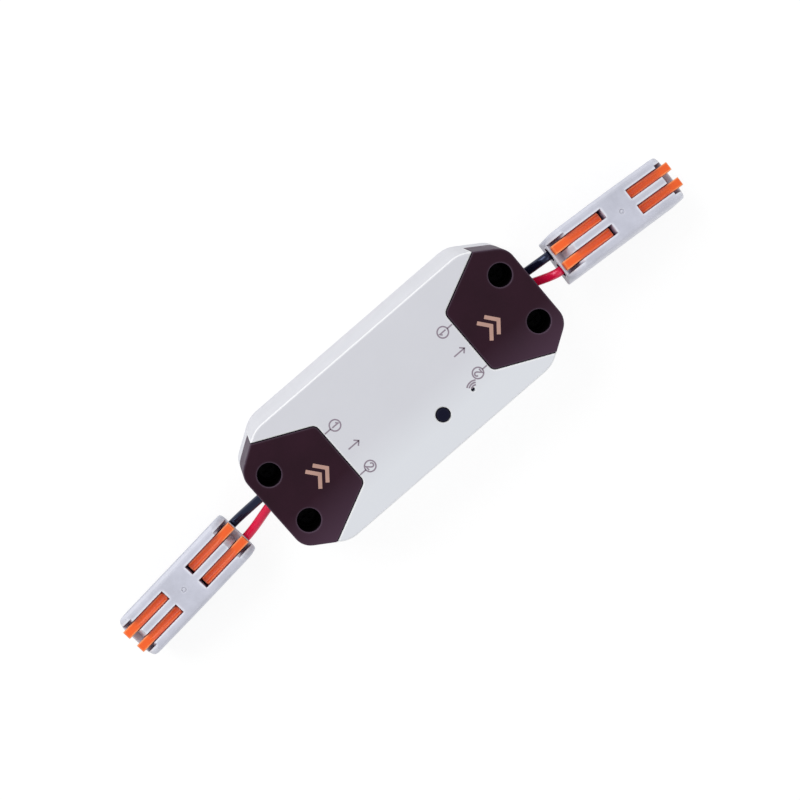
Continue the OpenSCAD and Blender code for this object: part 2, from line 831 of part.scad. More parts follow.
// Where a connector lies: a point of its own frame, as a point of the module's frame
function lean(c, p) = turn_z(c[2], turn_y(c[3], turn_x(c[4], p)));
function lift(c) = splice_lift_gap - min([
    for (u = [-foot_u, foot_u]) for (v = [-1, 1])
        lean(c, [u, v*(splice_w/2 - bottom_edge_r), 0]).z]);
function on_splice(c, p) = lean(c, p) + [c[0], c[1], lift(c)];

module at_splice(c) {
    translate([c[0], c[1], lift(c)]) rotate([c[4], c[3], c[2]]) children();
}

// The lead's middle line: a curve through a and b with the given directions
function curve(a, da, b, db, t) =
    let (
        reach = norm(b - a),
        h = t*t*(3 - 2*t)
    )
    (1 - h)*a + h*b + reach*(t*(1 - t)*(1 - t)*da - t*t*(1 - t)*db);

// side is 1 at the output end and -1 at the input end; pole is 1 for black and -1 for red
function lead_route(c, side, pole, exit_y) =
    let (
        start = [side*lead_start_x, pole*way_pitch/2, exit_z],
        straight = [side*lead_straight_x, pole*way_pitch/2, exit_z],
        out = [side, 0, 0],
        gate = [side*case_l/2, exit_y, exit_z],
        mouth = on_splice(c, [-side*(splice_l/2 + 0.6), pole*pole_pitch/2, port_w]),
        stop = on_splice(c, [-side*(splice_l/2 - lead_in_port), pole*pole_pitch/2, port_w]),
        in = unit(stop - mouth),
        across = unit(mouth - straight)
    )
    concat(
        [start],
        [for (k = [0:lead_rings - 1]) curve(straight, out, gate, across, k/lead_rings)],
        [for (k = [0:lead_rings]) curve(gate, across, mouth, in, k/lead_rings)],
        [stop]);

// A round tube along a route, with its ends square to the route
module sweep(route, d) {
    n = len(route);
    up = [0, 0, 1];
    loft([
        for (i = [0:n - 1])
            let (
                along = unit(route[min(i + 1, n - 1)] - route[max(i - 1, 0)]),
                wide = unit(cross(up, along)),
                high = cross(along, wide)
            )
            [for (k = [0:lead_sides - 1])
                let (a = 360*(k + 0.5)/lead_sides)
                route[i] + d/2*(cos(a)*wide + sin(a)*high)]], twisted = true);
}

input_black_route = lead_route(input_splice, -1, 1, input_exit_y[0]);
input_red_route = lead_route(input_splice, -1, -1, input_exit_y[1]);
output_black_route = lead_route(output_splice, 1, 1, output_exit_y[0]);
output_red_route = lead_route(output_splice, 1, -1, output_exit_y[1]);

module input_black_lead() {
    color([0.08, 0.08, 0.1]) sweep(input_black_route, lead_d);
}

module input_red_lead() {
    color([0.8, 0.07, 0.18]) sweep(input_red_route, lead_d);
}

module output_black_lead() {
    color([0.08, 0.08, 0.1]) sweep(output_black_route, lead_d);
}

module output_red_lead() {
    color([0.8, 0.07, 0.18]) sweep(output_red_route, lead_d);
}

// Bare copper: in the terminal block, and in the connector
module conductor_ends() {
    color([0.8, 0.5, 0.3]) {
        both_ends() for (pole = [-1, 1])
            translate([lead_start_x - copper_in_block, pole*way_pitch/2, exit_z])
            rotate([0, 90, 0]) cylinder(d = copper_d, h = copper_in_block);
        for (c = [[input_splice, 1], [output_splice, -1]]) at_splice(c[0])
            for (pole = [-1, 1]) translate([0, pole*pole_pitch/2, port_w])
            rotate([0, 90*c[1], 0])
            translate([0, 0, splice_l/2 - lead_in_port - copper_in_splice])
            cylinder(d = copper_d, h = copper_in_splice);
    }
}

// Splice connector, in its own frame: u along it, v across it, w up from its underside
function roof_w(u) =
    let (a = abs(u))
    a <= slot_in ? splice_h
    : a <= end_profile[0].x ? splice_h - (a - slot_in)*roof_drop
    : lookup(a, end_profile);
roof_drop = (splice_h - end_profile[0].y)/(end_profile[0].x - slot_in);
function half_w(u) =
    let (past = abs(u) - (splice_l/2 - end_corner))
    past <= 0 ? splice_w/2
    : splice_w/2 - end_corner + sqrt(max(0.04, end_corner*end_corner - past*past));
function splice_ring(u) =
    let (
        b = half_w(u),
        top = roof_w(u),
        r = long_edge_r,
        q = bottom_edge_r
    )
    concat(
        [[u, b - q, 0], [u, b, q]],
        [for (a = [0:22.5:90]) [u, b - r*(1 - cos(a)), top - r*(1 - sin(a))]],
        [for (a = [90:22.5:180]) [u, -b + r*(1 + cos(a)), top - r*(1 - sin(a))]],
        [[u, -b, q], [u, -b + q, 0]]);
half_stations = [0, slot_in, 10, 16, 16.6, 17, 17.5, 18, 18.4, 18.8, 19.1, 19.35, 19.5];

module splice_form() {
    last = len(half_stations) - 1;
    stretch = splice_l/39;
    loft(concat(
        [for (i = [last:-1:1]) splice_ring(-half_stations[i]*stretch)],
        [for (i = [0:last]) splice_ring(half_stations[i]*stretch)]));
}

module at_poles() {
    for (pole = [-1, 1]) translate([0, pole*pole_pitch/2, 0]) children();
}

module splice_housing() {
    end_u = splice_l/2;
    slot_l = end_u + 2 - slot_in;
    recess_w = pole_pitch + slot_w + 2*recess_side;
    difference() {
        splice_form();
        both_ends() {
            // the end face leans in towards the foot
            rotate([90, 0, 0]) linear_extrude(splice_w + 2, center = true)
                polygon([[end_u + 0.02, lip_w], [foot_u, 0], [foot_u, -1], [end_u + 3, -1],
                    [end_u + 3, lip_w]]);
            // finger recess under the levers' tips
            rotate([90, 0, 0]) linear_extrude(recess_w, center = true)
                polygon([[recess_u, splice_h], [recess_u + recess_ramp, slot_floor],
                    [end_u + 2, slot_floor], [end_u + 2, splice_h]]);
            at_poles() {
                translate([slot_in, -slot_w/2, slot_floor]) cube([slot_l, slot_w, splice_h]);
                translate([slot_in + 0.6, -slot_w/2, lid_t]) cube([chamber_out - slot_in - 0.6,
                    slot_w, splice_h - 6]);
                translate([pin_u, 0, pin_w]) rotate([90, 0, 0])
                    cylinder(d = pin_d + 2*pin_gap, h = lever_w + 2*pin_l + 0.2, center = true);
                translate([end_u - port_depth, 0, port_w]) rotate([0, 90, 0])
                    cylinder(d = port_d, h = port_depth + 2);
                translate([chamber_out - 1, 0, port_w]) rotate([0, 90, 0])
                    cylinder(d = guide_d, h = end_u - chamber_out);
            }
        }
        at_poles() translate([-chamber_out, -slot_w/2, lid_t - over])
            cube([2*chamber_out, slot_w, bar_top + 0.05 - lid_t + over]);
        translate([-lid_l/2 - lid_gap, -lid_w/2 - lid_gap, -over])
            cube([lid_l + 2*lid_gap, lid_w + 2*lid_gap, lid_t + over]);
        // small round mould mark in the middle of the roof
        translate([0, 0, splice_h - 0.15]) difference() {
            cylinder(d = 1.4, h = 1);
            translate([0, 0, -1]) cylinder(d = 0.7, h = 1.1);
        }
    }
}

module input_splice_housing() {
    color([0.78, 0.79, 0.83]) at_splice(input_splice) splice_housing();
}

module output_splice_housing() {
    color([0.78, 0.79, 0.83]) at_splice(output_splice) splice_housing();
}

module splice_bottom() {
    rim = 0.1;
    translate([-lid_l/2, -lid_w/2, rim]) cube([lid_l, lid_w, lid_t - rim]);
}

module input_splice_bottom() {
    color([0.74, 0.75, 0.79]) at_splice(input_splice) splice_bottom();
}

module output_splice_bottom() {
    color([0.74, 0.75, 0.79]) at_splice(output_splice) splice_bottom();
}

// One bar for each pole, on legs that stand on the bottom plate
module bus_bars() {
    bar_w = slot_w - 0.3;
    bar_l = 2*chamber_out - 0.4;
    leg = 1;
    color([0.85, 0.6, 0.35])
    at_poles() translate([0, -bar_w/2, 0]) union() {
        translate([-bar_l/2, 0, bar_top - bar_t]) cube([bar_l, bar_w, bar_t]);
        for (u = [-bar_l/2, -leg/2, bar_l/2 - leg]) translate([u, 0, lid_t])
            cube([leg, bar_w, bar_top - lid_t - bar_t/2]);
    }
}

module input_bus_bars() {
    at_splice(input_splice) bus_bars();
}

module output_bus_bars() {
    at_splice(output_splice) bus_bars();
}

// A bent strip of thickness t along a path in the plane
function band(path, t) =
    let (
        n = len(path),
        side = [for (i = [0:n - 1])
            let (d = unit(path[min(i + 1, n - 1)] - path[max(i - 1, 0)]))
            [-d.y, d.x]*t/2]
    )
    concat([for (i = [0:n - 1]) path[i] + side[i]], [for (i = [n - 1:-1:0]) path[i] - side[i]]);

// Leaf that rises from the bar's middle, turns over and presses the copper from above
module clamp_springs() {
    leaf_t = 0.3;
    foot = bar_top + leaf_t/2 + 0.05;
    tip = port_w + copper_d/2 + leaf_t/2 + 0.15;
    color([0.82, 0.82, 0.84])
    both_ends() at_poles() rotate([90, 0, 0])
        linear_extrude(slot_w - 0.5, center = true)
        polygon(band([[8.6, foot], [6.4, foot], [5.5, foot + 0.6], [5.3, foot + 1.8],
            [6, foot + 2.9], [7.2, foot + 3.1], [8.6, foot + 2.6], [10.6, tip]], leaf_t));
}

module input_clamp_springs() {
    at_splice(input_splice) clamp_springs();
}

module output_clamp_springs() {
    at_splice(output_splice) clamp_springs();
}

// Side view of a lever, with its rounded inner end
module lever_outline() {
    tip_t = 2.1;
    back_angle = atan2(lever_top, lever_back);
    under_x = sqrt(lever_hub_r*lever_hub_r - lever_under*lever_under);
    under_angle = 360 + atan2(lever_under, under_x);
    steps = 14;
    polygon(concat(
        [[lever_back, lever_top]],
        [for (k = [1:steps]) let (a = back_angle + (under_angle - back_angle)*k/steps)
            lever_hub_r*[cos(a), sin(a)]],
        [[lever_reach - 5, lever_under], [lever_reach - 4, lever_top - tip_t + 0.1],
            [lever_reach - 0.3, lever_top - tip_t], [lever_reach, lever_top - tip_t + 0.3],
            [lever_reach, lever_top - 0.3], [lever_reach - 0.3, lever_top]]));
}

module lever() {
    grip_in = 0.1;
    grip_l = 5;
    edge = 0.2;
    difference() {
        union() {
            intersection() {
                rotate([90, 0, 0]) linear_extrude(lever_w, center = true) lever_outline();
                translate([-lever_hub_r - 1, 0, 0]) rotate([90, 0, 90])
                    linear_extrude(lever_reach + lever_hub_r + 2)
                    polygon([[-lever_w/2, -4], [lever_w/2, -4], [lever_w/2, lever_top - edge],
                        [lever_w/2 - edge, lever_top], [edge - lever_w/2, lever_top],
                        [-lever_w/2, lever_top - edge]]);
            }
            rotate([90, 0, 0]) cylinder(d = pin_d, h = lever_w + 2*pin_l, center = true);
        }
        // the grip is a little narrower than the rest
        for (side = [-1, 1])
            translate([lever_reach - grip_l, side*lever_w/2 - grip_in, -4])
            cube([grip_l + 1, 2*grip_in, 8]);
        // long groove that runs out towards the grip
        translate([-0.5, 0, lever_top + groove_r - groove_depth])
            rotate([0, 90 - atan2(groove_depth, groove_l), 0])
            translate([0, 0, -4]) cylinder(r = groove_r, h = groove_l + 8);
    }
}

// side is 1 at the connector's +X end, pole is 1 for the black lead's way
module lever_at(c, side, pole) {
    color([0.96, 0.4, 0.12])
    at_splice(c) translate([side*pin_u, pole*pole_pitch/2, pin_w])
        rotate([0, 0, side > 0 ? 0 : 180]) rotate([0, roof_fall, 0]) lever();
}

module input_near_black_lever() {
    lever_at(input_splice, 1, 1);
}

module input_near_red_lever() {
    lever_at(input_splice, 1, -1);
}

module input_far_black_lever() {
    lever_at(input_splice, -1, 1);
}

module input_far_red_lever() {
    lever_at(input_splice, -1, -1);
}

module output_near_black_lever() {
    lever_at(output_splice, -1, 1);
}

module output_near_red_lever() {
    lever_at(output_splice, -1, -1);
}

module output_far_black_lever() {
    lever_at(output_splice, 1, 1);
}

module output_far_red_lever() {
    lever_at(output_splice, 1, -1);
}

top_shell();
base_plate();
input_cover();
output_cover();
cover_screws();
main_board();
board_screws();
input_terminal_block();
output_terminal_block();
terminal_cages();
terminal_screws();
relay();
transformer_core();
transformer_winding();
bulk_capacitor();
output_capacitor();
x_capacitor();
varistor();
fuse_resistor();
bridge_rectifier();
regulator_chip();
wireless_board();
wireless_shield();
radio_board();
radio_aerial();
status_light();
light_holder();
switch_body();
switch_plate();
push_button();
input_black_lead();
input_red_lead();
output_black_lead();
output_red_lead();
conductor_ends();
input_splice_housing();
output_splice_housing();
input_splice_bottom();
output_splice_bottom();
input_bus_bars();
output_bus_bars();
input_clamp_springs();
output_clamp_springs();
input_near_black_lever();
input_near_red_lever();
input_far_black_lever();
input_far_red_lever();
output_near_black_lever();
output_near_red_lever();
output_far_black_lever();
output_far_red_lever();
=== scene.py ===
import json
import math

import bmesh
import bpy
from mathutils import Euler, Matrix, Vector


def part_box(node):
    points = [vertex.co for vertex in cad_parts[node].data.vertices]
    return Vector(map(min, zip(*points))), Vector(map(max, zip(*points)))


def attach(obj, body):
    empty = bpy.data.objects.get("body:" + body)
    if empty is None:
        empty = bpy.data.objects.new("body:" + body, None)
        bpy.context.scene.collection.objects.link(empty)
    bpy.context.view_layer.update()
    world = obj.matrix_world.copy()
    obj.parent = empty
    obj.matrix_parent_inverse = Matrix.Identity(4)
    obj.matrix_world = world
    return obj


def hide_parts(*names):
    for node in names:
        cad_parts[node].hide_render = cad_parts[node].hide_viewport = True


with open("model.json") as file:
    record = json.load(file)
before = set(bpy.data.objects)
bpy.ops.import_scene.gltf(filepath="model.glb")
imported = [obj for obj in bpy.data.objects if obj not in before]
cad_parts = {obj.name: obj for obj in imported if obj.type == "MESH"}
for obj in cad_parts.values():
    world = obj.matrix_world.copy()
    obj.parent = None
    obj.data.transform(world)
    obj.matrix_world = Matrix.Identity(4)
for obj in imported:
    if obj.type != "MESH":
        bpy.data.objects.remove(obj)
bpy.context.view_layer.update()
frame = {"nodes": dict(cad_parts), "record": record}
nodes = frame["nodes"]
record = frame["record"]
mm = 0.001
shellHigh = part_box("top_shell")[1]/mm
caseEnd, roof = shellHigh.x, shellHigh.z
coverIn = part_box("output_cover")[0].x/mm  # where the covers begin, from the middle
ends = {"input": -1, "output": 1}  # the side of the case that each lies on
print("frame loaded, nodes:", len(nodes))

scene = bpy.context.scene
scene.view_settings.view_transform = "Standard"


# Camera at the photograph's angle: its place in millimetres and its axes in the case's frame
view = {
    "lens": 102.66,
    "sensor": 36,
    "near": 0.01,
    "place": (-5.3235, 102.5167, 588.2445),
    "right": (0.756102, -0.642989, 0.121962),
    "down": (-0.654414, -0.744859, 0.130106),
    "ahead": (0.007187, -0.178187, -0.983970),
}
cameraData = bpy.data.cameras.new("camera")
cameraData.lens = view["lens"]
cameraData.sensor_width = view["sensor"]
cameraData.clip_start = view["near"]
camera = bpy.data.objects.new("camera", cameraData)
scene.collection.objects.link(camera)
right, up, back = Vector(view["right"]), -Vector(view["down"]), -Vector(view["ahead"])
turned = Matrix((right, up, back)).transposed().to_4x4()
camera.matrix_world = Matrix.Translation(Vector(view["place"])*mm) @ turned
scene.camera = camera
print("camera set")


# One socket of a shader tree. Sums of sockets and numbers read as plain sums
class Signal:
    def __init__(self, tree, socket=None):
        self.tree = tree
        self.socket = socket

    # Adds a node, sets its settings, then its sockets, and gives the asked output
    def add(self, kind, settings, sockets, output=0):
        made = self.tree.nodes.new("ShaderNode" + kind)
        for key, value in settings.items():
            setattr(made, key, value)
        for key, value in sockets.items():
            self.feed(made.inputs[key], value)
        return Signal(self.tree, made.outputs[output])

    def feed(self, socket, value):
        if isinstance(value, Signal):
            self.tree.links.new(value.socket, socket)
        else:
            socket.default_value = value

    def maths(self, operation, *values, clamp=False):
        settings = {"operation": operation, "use_clamp": clamp}
        return self.add("Math", settings, dict(enumerate(values)))

    def __add__(self, other):
        return self.maths("ADD", self, other)

    def __radd__(self, other):
        return self.maths("ADD", other, self)

    def __sub__(self, other):
        return self.maths("SUBTRACT", self, other)

    def __rsub__(self, other):
        return self.maths("SUBTRACT", other, self)

    def __mul__(self, other):
        return self.maths("MULTIPLY", self, other)

    def __rmul__(self, other):
        return self.maths("MULTIPLY", other, self)

    def __truediv__(self, other):
        return self.maths("DIVIDE", self, other)

    def __rtruediv__(self, other):
        return self.maths("DIVIDE", other, self)

    # Kept from 0 to 1
    def limited(self):
        return self.maths("ADD", self, 0.0, clamp=True)

    # Between two colours, by this signal
    def between(self, low, high):
        sockets = {0: self, 6: low, 7: high}
        return self.add("Mix", {"data_type": "RGBA"}, sockets, 2)


# A linear colour from the 0 to 255 values of a colour picker
def rgb(red, green, blue):
    share = (red/255, green/255, blue/255)
    flat = [c/12.92 if c <= 0.04045 else ((c + 0.055)/1.055)**2.4 for c in share]
    return (*flat, 1.0)


# The same colour, darker below 1 and lighter above
def shaded(colour, by):
    return tuple(min(1.0, c*by) for c in colour[:3]) + (1.0,)


# What a finish may change, with lengths in millimetres: soft patches of colour, a fine grain,
# rounded edges, a painted highlight on rims with wear along them, and painted shade in hollows.
# A finish may also name a painted shading tone for its sides, painted light towards the case's
# near side and painted light in narrow gaps
plainLook = {
    "patch": 9.0, "swing": 0.05, "rough": 0.45, "roughSwing": 0.12, "metal": 0.0,
    "grain": 0.16, "depth": 0.004, "edge": 0.12, "worn": 0.25, "specular": 0.4, "coat": 0.0,
    "tint": (1, 1, 1, 1), "speck": 0.5, "rim": 0.0, "rimWidth": 0.5, "round": 0.0,
    "hollow": 1.5, "hollowFrom": 0.4, "hollowGain": 3.0, "nearLightFrom": -4, "nearLightOver": 16,
}
# What all finishes share
shared = {
    "samples": 8, "edgeSamples": 4,
    "patchDetail": 4.0, "patchRoughness": 0.6, "patchGain": 2.2, "grainDetail": 2.0,
    "smearShare": 0.37, "smearDetail": 3.0,  # the smears' size as a share of the patches'
    "rimGain": 3.2, "rimFloor": 0.15, "roundGain": 6, "roundFloor": 0.3,
    "wornShade": 1.5, "hollowShade": 0.3, "sideShadingGain": 2,
    "hollowAbove": 3, "hollowRise": 0.5,  # close to the floor each finish keeps its own tone
    "gap": 0.3, "gapFrom": 0.45, "gapGain": 4,
    "rubRoughness": 0.1, "coatRoughness": 0.2, "bump": 0.5,
}


def finish(name, changes):
    look = {**plainLook, **shared, **changes}
    material = bpy.data.materials.new(name)
    material.use_nodes = True
    shader = material.node_tree.nodes["Principled BSDF"]
    start = Signal(material.node_tree)
    place = start.add("TexCoord", {}, {}, "Object")
    place = start.add("VectorMath", {"operation": "SCALE"}, {0: place, "Scale": 1/mm}, 0)

    def noise(size, detail, roughness=0.5):
        sockets = {"Vector": place, "Scale": 1/size, "Detail": detail, "Roughness": roughness}
        return start.add("TexNoise", {}, sockets, 0)

    def part(vector, axis):
        return start.add("SeparateXYZ", {}, {0: vector}, axis)

    # How open the space round a point is, from 0 to 1, or the solid below it with inside
    def openness(reach, **settings):
        settings = {"samples": look["samples"], **settings}
        return start.add("AmbientOcclusion", settings, {"Distance": reach*mm}, "AO")

    patches = noise(look["patch"], look["patchDetail"], look["patchRoughness"])
    grain = noise(look["grain"], look["grainDetail"])
    smear = noise(look["patch"]*look["smearShare"], look["smearDetail"])
    soft = start.add("Bevel", {"samples": look["edgeSamples"]}, {"Radius": look["edge"]*mm})
    level = part(start.add("NewGeometry", {}, {}, "Normal"), "Z")

    # Rims and rounded edges: a painted highlight along them, mixed with wear in smears
    inner = openness(look["rimWidth"], inside=True, only_local=True)
    edge = ((1 - inner)*look["rimGain"] - look["rimFloor"]).limited()
    # Painted highlight on the rounded edges, where the faces lean between flat and upright
    roundHighlight = (level*(1 - level)*look["roundGain"] - look["roundFloor"]).limited()
    rubAndHighlight = (edge*(smear*look["worn"] + look["rim"]) + roundHighlight*look["round"]).limited()

    base = look["colour"]
    spread = (patches - 0.5)*look["patchGain"] + 0.5 + (grain - 0.5)*look["speck"]
    low, high = shaded(base, 1 - look["swing"]), shaded(base, 1 + look["swing"])
    colour = spread.limited().between(low, high)
    # Painted shading on the sides: a tone that stands for how the light falls on upright faces
    if "sideShadingColour" in look:
        colour = (1 - level*look["sideShadingGain"]).limited().between(colour, look["sideShadingColour"])
    # Painted light: paler towards the case's near side, where the near lamp lights and reflects
    if "nearLightColour" in look:
        nearLight = ((look["nearLightFrom"] - part(place, "Y"))/look["nearLightOver"]).limited()
        colour = nearLight.between(colour, look["nearLightColour"])
    # Painted highlight and wear along the edges
    colour = rubAndHighlight.between(colour, look.get("wornAndHighlightColour", shaded(base, look["wornShade"])))

    # Painted shading in hollows, darker for most finishes and a paler pink on the levers, and
    # painted light in the narrowest gaps
    hollowShading = ((look["hollowFrom"] - openness(look["hollow"]))*look["hollowGain"]).limited()
    raised = ((part(place, "Z") - look["hollowAbove"])*look["hollowRise"]).limited()
    hollowShadingTone = look.get("hollowShadingColour", shaded(base, look["hollowShade"]))
    colour = (hollowShading*raised).between(colour, hollowShadingTone)
    # Painted light in the narrowest gaps, paler than the shade they would hold
    if "gapLightColour" in look:
        gapLight = (look["gapFrom"] - openness(look["gap"]))*look["gapGain"]
        colour = gapLight.limited().between(colour, look["gapLightColour"])

    roughness = look["rough"] + (smear - 0.5)*look["roughSwing"]*2 + rubAndHighlight*look["rubRoughness"]
    normal = start.add("Bump", {}, {"Strength": look["bump"], "Distance": look["depth"]*mm,
        "Height": grain, "Normal": soft})
    start.feed(shader.inputs["Base Color"], colour)
    start.feed(shader.inputs["Roughness"], roughness.limited())
    start.feed(shader.inputs["Normal"], normal)
    shader.inputs["Metallic"].default_value = look["metal"]
    shader.inputs["Specular IOR Level"].default_value = look["specular"]
    shader.inputs["Specular Tint"].default_value = look["tint"]
    shader.inputs["Coat Weight"].default_value = look["coat"]
    shader.inputs["Coat Roughness"].default_value = look["coatRoughness"]
    return material


looks = {
    # Painted highlight on the top edges and rims, painted light towards the near side, painted
    # shade in seams and holes
    "shell_white": dict(colour=rgb(213, 214, 221), patch=16, swing=0.015, rough=0.42,
        grain=0.14, depth=0.005, edge=0.4, worn=0.3, rim=0.55, round=0.9,
        wornAndHighlightColour=rgb(252, 253, 255), specular=0.35, hollow=1.0, hollowFrom=0.25,
        hollowShadingColour=rgb(26, 20, 28), nearLightColour=rgb(223, 226, 232), nearLightFrom=-2,
        nearLightOver=10),
    # Painted light on the sides and towards the near side, painted highlight on the edges,
    # painted shade darkening the screw wells
    "cover_dark": dict(colour=rgb(43, 18, 32), patch=12, swing=0.18, rough=0.5, grain=0.18,
        depth=0.008, edge=0.25, worn=0.3, rim=0.2, round=0.4, speck=1.3,
        sideShadingColour=rgb(72, 54, 74), nearLightColour=rgb(78, 56, 74),
        wornAndHighlightColour=rgb(104, 88, 106), specular=0.12, hollow=7.5, hollowFrom=0.7,
        hollowGain=6.0, hollowShadingColour=rgb(4, 2, 4)),
    "screw_black": dict(colour=rgb(14, 12, 18), rough=0.6, specular=0.1, edge=0.1, worn=0.1,
        wornAndHighlightColour=rgb(40, 36, 50)),
    "board_green": dict(colour=rgb(24, 98, 58), grain=0.6, coat=0.3),
    "board_blue": dict(colour=rgb(16, 54, 90), grain=0.6, coat=0.3),
    "screw_steel": dict(colour=rgb(190, 188, 180), metal=1.0, rough=0.3),
    "terminal_green": dict(colour=rgb(38, 112, 68)),
    "cage_nickel": dict(colour=rgb(200, 195, 180), metal=1.0, rough=0.3),
    "relay_black": dict(colour=rgb(26, 30, 38), patch=6),
    "ferrite": dict(colour=rgb(56, 56, 60), rough=0.6, grain=0.3, depth=0.02),
    "winding_tape": dict(colour=rgb(214, 158, 54), rough=0.3, grain=0.5),
    "capacitor_sleeve": dict(colour=rgb(32, 34, 52), rough=0.3),
    "capacitor_yellow": dict(colour=rgb(214, 178, 56), rough=0.35),
    "varistor_blue": dict(colour=rgb(36, 80, 150), rough=0.3, coat=0.4),
    "resistor_green": dict(colour=rgb(88, 150, 112), rough=0.3, coat=0.3),
    "chip_black": dict(colour=rgb(30, 30, 33), rough=0.55),
    "shield_steel": dict(colour=rgb(190, 190, 193), metal=1.0, rough=0.32),
    "light_clear": dict(colour=rgb(150, 165, 205), rough=0.12, coat=0.5),
    "button_black": dict(colour=rgb(20, 20, 38), rough=0.6, edge=0.15, specular=0.1,
        tint=(0.6, 0.7, 1.0, 1.0), wornAndHighlightColour=rgb(84, 78, 92)),
    "lead_black": dict(colour=rgb(14, 15, 34), patch=5, rough=0.17, grain=0.25, depth=0.006,
        edge=0.05, specular=0.75, tint=(0.5, 0.6, 1.0, 1.0), wornAndHighlightColour=rgb(60, 60, 80)),
    "lead_red": dict(colour=rgb(236, 18, 70), patch=5, rough=0.2, grain=0.25, depth=0.006,
        edge=0.05, specular=0.9, tint=(1.0, 0.6, 0.8, 1.0), wornAndHighlightColour=rgb(235, 70, 100)),
    "copper": dict(colour=rgb(214, 150, 112), metal=1.0, rough=0.28, grain=0.3),
    # Painted highlight on the rims, painted shade on the sides and in the slots and pockets,
    # painted light in the narrow gaps
    "splice_grey": dict(colour=rgb(199, 201, 215), patch=8, swing=0.12, rough=0.33,
        grain=0.2, depth=0.006, edge=0.3, worn=0.3, rim=0.7, rimWidth=0.8, round=0.3,
        wornAndHighlightColour=rgb(236, 238, 248), sideShadingColour=rgb(170, 173, 192), specular=0.45,
        hollow=3.0, hollowFrom=0.62, hollowGain=2.6, hollowShadingColour=rgb(100, 80, 112),
        gapLightColour=rgb(255, 140, 110)),
    "splice_base": dict(colour=rgb(186, 188, 204), patch=10, swing=0.04),
    "spring_steel": dict(colour=rgb(198, 198, 202), metal=1.0, rough=0.25),
    # Painted highlight on the rims, a painted pink highlight in the channels, painted light in
    # the narrow gaps
    "lever_orange": dict(colour=rgb(252, 100, 34), patch=4, swing=0.06, rough=0.32,
        grain=0.15, depth=0.006, edge=0.14, worn=0.3, rim=0.95, rimWidth=0.5,
        wornAndHighlightColour=rgb(255, 168, 108), specular=0.45, hollow=1.4, hollowFrom=0.9,
        hollowGain=3.0, hollowShadingColour=rgb(244, 108, 88), gapLightColour=rgb(255, 130, 80)),
}
finishes = {name: finish(name, changes) for name, changes in looks.items()}
for row in record["subparts"]:
    slots = nodes[row["node"]].data.materials
    slots.clear()
    slots.append(finishes[row["material_slot"]])
print("finishes on", len(record["subparts"]), "nodes")


def meshOf(name, made):
    mesh = bpy.data.meshes.new(name)
    made.to_mesh(mesh)
    made.free()
    return mesh


def piece(name, mesh, slotName, body="case"):
    made = bpy.data.objects.new(name, mesh)
    scene.collection.objects.link(made)
    mesh.materials.append(finishes[slotName])
    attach(made, body)
    return made


# Leads: round smooth sleeves close to the solids' lines, from the terminals through the covers'
# exits into the splice connectors. Lengths are in millimetres, and sideways ones from the middle
leads = {
    "diameter": 2.4,
    "sides": 28,
    "steps": 26,
    "start": 33.2,
    "straight": 36.0,
    "height": 11.0,
    "spread": 2.5,  # at the terminals
    "exits": {"input": (2.5, -0.5), "output": (1.8, -1.4)},
}
# Splice connectors: how far beyond the case each lies, its turns in degrees, and its ports
splices = {
    "half": 19.5,
    "outside": 0.6,  # from the connector's end out to where a lead turns in
    "inside": 3.0,  # and in to where its sleeve stops
    "pole": 2.45,
    "port": 5.0,  # height of the ports' middle lines
    "foot": (18.0, 6.1),  # half the length and width of the underside
    "lift": 0.05,
    "input": {"beyond": 29.5, "across": -3.65, "turns": (-8.2, -2.4, 6)},
    "output": {"beyond": 24.9, "across": -3.9, "turns": (-12.8, 14, -6.9)},
}


# The connector's frame: its lowest corner lies just above the surface under the case
def spliceMatrix(splice, side):
    turn = Euler([math.radians(a) for a in splice["turns"]], "XYZ").to_matrix().to_4x4()
    length, width = splices["foot"]
    low = min((turn @ Vector((u*length, v*width, 0))).z for u in (-1, 1) for v in (-1, 1))
    place = (side*(caseEnd + splice["beyond"]), splice["across"], splices["lift"] - low)
    return Matrix.Translation(place) @ turn


# A point of the smooth curve that leaves a along aWay and reaches b along bWay
def bend(a, aWay, b, bWay, t):
    reach = (b - a).length
    share = t*t*(3 - 2*t)
    return (1 - share)*a + share*b + reach*(t*(1 - t)**2*aWay - t*t*(1 - t)*bWay)


# pole is 1 for the black lead and -1 for the red one
def leadRoute(endName, pole, exitY):
    side, steps = ends[endName], leads["steps"]
    seat = spliceMatrix(splices[endName], side)
    ported = pole*splices["pole"]
    begin = Vector((side*leads["start"], pole*leads["spread"], leads["height"]))
    straight = Vector((side*leads["straight"], pole*leads["spread"], leads["height"]))
    gate = Vector((side*caseEnd, exitY, leads["height"]))
    mouth = seat @ Vector((-side*(splices["half"] + splices["outside"]), ported, splices["port"]))
    stop = seat @ Vector((-side*(splices["half"] - splices["inside"]), ported, splices["port"]))
    across = (mouth - gate).normalized()
    into = (across + (stop - mouth).normalized()).normalized()
    out = Vector((side, 0, 0))
    points = [begin]
    points += [bend(straight, out, gate, across, k/steps) for k in range(steps)]
    points += [bend(gate, across, mouth, into, k/steps) for k in range(steps + 1)]
    return points + [stop]


# A round closed tube along points in millimetres
def tube(name, points, diameter, sides):
    made = bmesh.new()
    rings = []
    last = len(points) - 1
    angles = [2*math.pi*k/sides for k in range(sides)]
    for i, point in enumerate(points):
        along = (points[min(i + 1, last)] - points[max(i - 1, 0)]).normalized()
        wide = Vector((0, 0, 1)).cross(along).normalized()
        high = along.cross(wide)
        rings.append([made.verts.new(
            (point + diameter/2*(math.cos(a)*wide + math.sin(a)*high))*mm) for a in angles])
    for one, two in zip(rings, rings[1:]):
        for k in range(sides):
            n = (k + 1) % sides
            made.faces.new((one[k], one[n], two[n], two[k])).smooth = True
    made.faces.new(list(reversed(rings[0])))
    made.faces.new(rings[-1])
    return meshOf(name, made)


